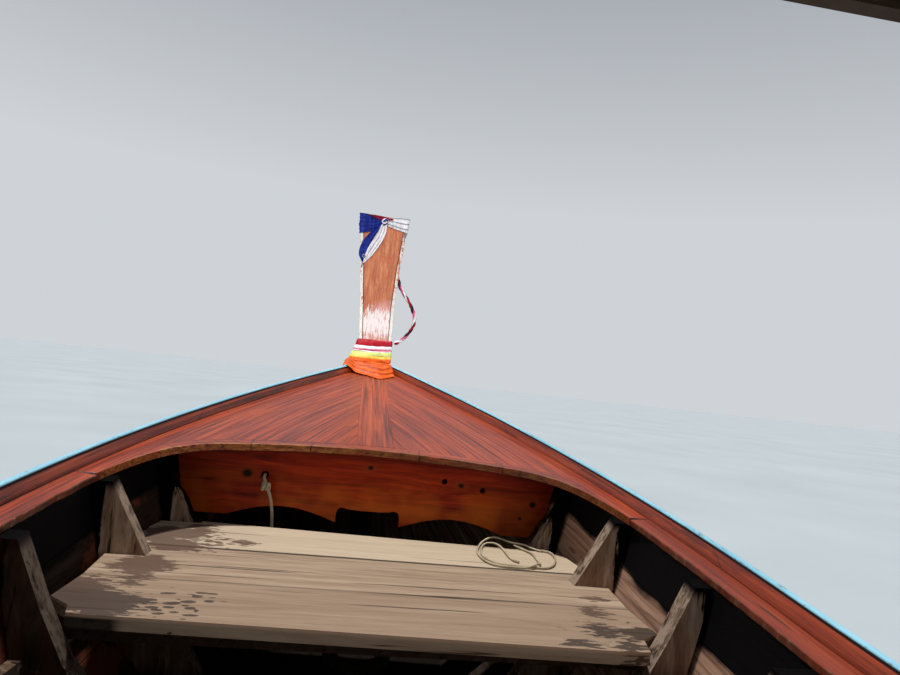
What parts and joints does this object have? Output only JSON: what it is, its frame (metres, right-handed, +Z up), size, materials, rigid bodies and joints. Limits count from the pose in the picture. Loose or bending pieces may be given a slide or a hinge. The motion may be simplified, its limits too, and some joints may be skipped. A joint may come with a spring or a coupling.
{
  "type": "longtail boat",
  "caption": "Open wooden longtail boat with tall prow post, planked foredeck, benches, canopy and a swivelling engine with long propeller tube.",
  "frame": {"origin": "on the centreline amidships at the waterline", "axes": "+X forward along the keel, +Y to port, +Z up"},
  "size_m": [14.5341, 2.132, 2.59],
  "materials": {
    "backbone_wood": "dark stained timber",
    "prow_wood": "worn varnish over orange-brown timber",
    "hull_wood": "oiled planks, dark inside",
    "rail_paint": "light blue paint, worn",
    "outwale_paint": "blue paint, worn",
    "varnished_wood": "glossy red-brown varnish",
    "rib_wood": "bare grey-brown timber with cracks",
    "weathered_wood": "bare weathered planks, matt",
    "canopy_wood": "plain timber poles, matt",
    "canopy_cloth": "dark woven tarpaulin",
    "rope_fibre": "laid rope, dull",
    "sash_cloth": "bright satin cloth",
    "mount_steel": "dark paint with rust",
    "engine_metal": "oily cast metal",
    "cover_paint": "red paint, worn",
    "drive_metal": "dark metal and rubber belt",
    "exhaust_metal": "rusted steel",
    "tube_steel": "grey paint, worn",
    "propeller_brass": "dull bronze"
  },
  "bodies": {
    "hull": {"aft_deck": "weathered_wood", "bench_1": "weathered_wood", "bench_2": "weathered_wood", "bench_3": "weathered_wood", "bench_4": "weathered_wood", "bulkhead_board": "varnished_wood", "bulkhead_rope": "rope_fibre", "bulkhead_rope_coil": "rope_fibre", "canopy_cloth": "canopy_cloth", "canopy_posts_and_eaves_port": "canopy_wood", "canopy_posts_and_eaves_starboard": "canopy_wood", "canopy_rafters": "canopy_wood", "covering_board_port": "varnished_wood", "covering_board_starboard": "varnished_wood", "engine_beam": "backbone_wood", "engine_pedestal": "mount_steel", "foredeck": "varnished_wood", "hull_planking_aft_port": "hull_wood", "hull_planking_aft_starboard": "hull_wood", "hull_planking_fore_port": "hull_wood", "hull_planking_fore_starboard": "hull_wood", "hull_planking_mid_port": "hull_wood", "hull_planking_mid_starboard": "hull_wood", "keel": "backbone_wood", "keelson_and_floors": "backbone_wood", "loose_rope": "rope_fibre", "outwale_port": "outwale_paint", "outwale_starboard": "outwale_paint", "platform_bearer_aft": "backbone_wood", "platform_bearer_fore": "backbone_wood", "platform_plank_aft": "weathered_wood", "platform_plank_fore": "weathered_wood", "platform_plank_mid": "weathered_wood", "prow_post": "prow_wood", "prow_sash_lower": "sash_cloth", "prow_sash_upper": "sash_cloth", "rail_port": "rail_paint", "rail_starboard": "rail_paint", "ribs_and_riser_aft_port": "rib_wood", "ribs_and_riser_aft_starboard": "rib_wood", "ribs_and_riser_fore_port": "rib_wood", "ribs_and_riser_fore_starboard": "rib_wood", "ribs_and_riser_mid_port": "rib_wood", "ribs_and_riser_mid_starboard": "rib_wood", "sole_boards": "weathered_wood", "stem": "backbone_wood", "transom": "hull_wood", "washboard_port": "varnished_wood", "washboard_starboard": "varnished_wood"},
    "swivel": {"swivel_yoke": "mount_steel"},
    "engine": {"engine_cradle": "mount_steel", "engine_block": "engine_metal", "engine_head_cover": "cover_paint", "belt_drive_and_alternator": "drive_metal", "exhaust_pipe": "exhaust_metal", "clutch_housing": "engine_metal", "tail_tube": "tube_steel", "tiller": "tube_steel"},
    "propeller": {"propeller": "propeller_brass"}
  },
  "joints": [
    {"name": "engine_swivel", "type": "hinge", "parent": "hull", "child": "swivel", "pos_m": [-5.05, 0, 0.83], "axis": [0, 0, 1], "range_deg": [-50, 50]},
    {"name": "engine_tilt", "type": "hinge", "parent": "swivel", "child": "engine", "pos_m": [-5.05, 0, 1.05], "axis": [0, 1, 0], "range_deg": [0, 26]},
    {"name": "propeller_spin", "type": "hinge", "parent": "engine", "child": "propeller", "pos_m": [-8.52476, 0, -0.11893], "axis": [0.9397, 0, 0.342], "continuous": true}
  ]
}
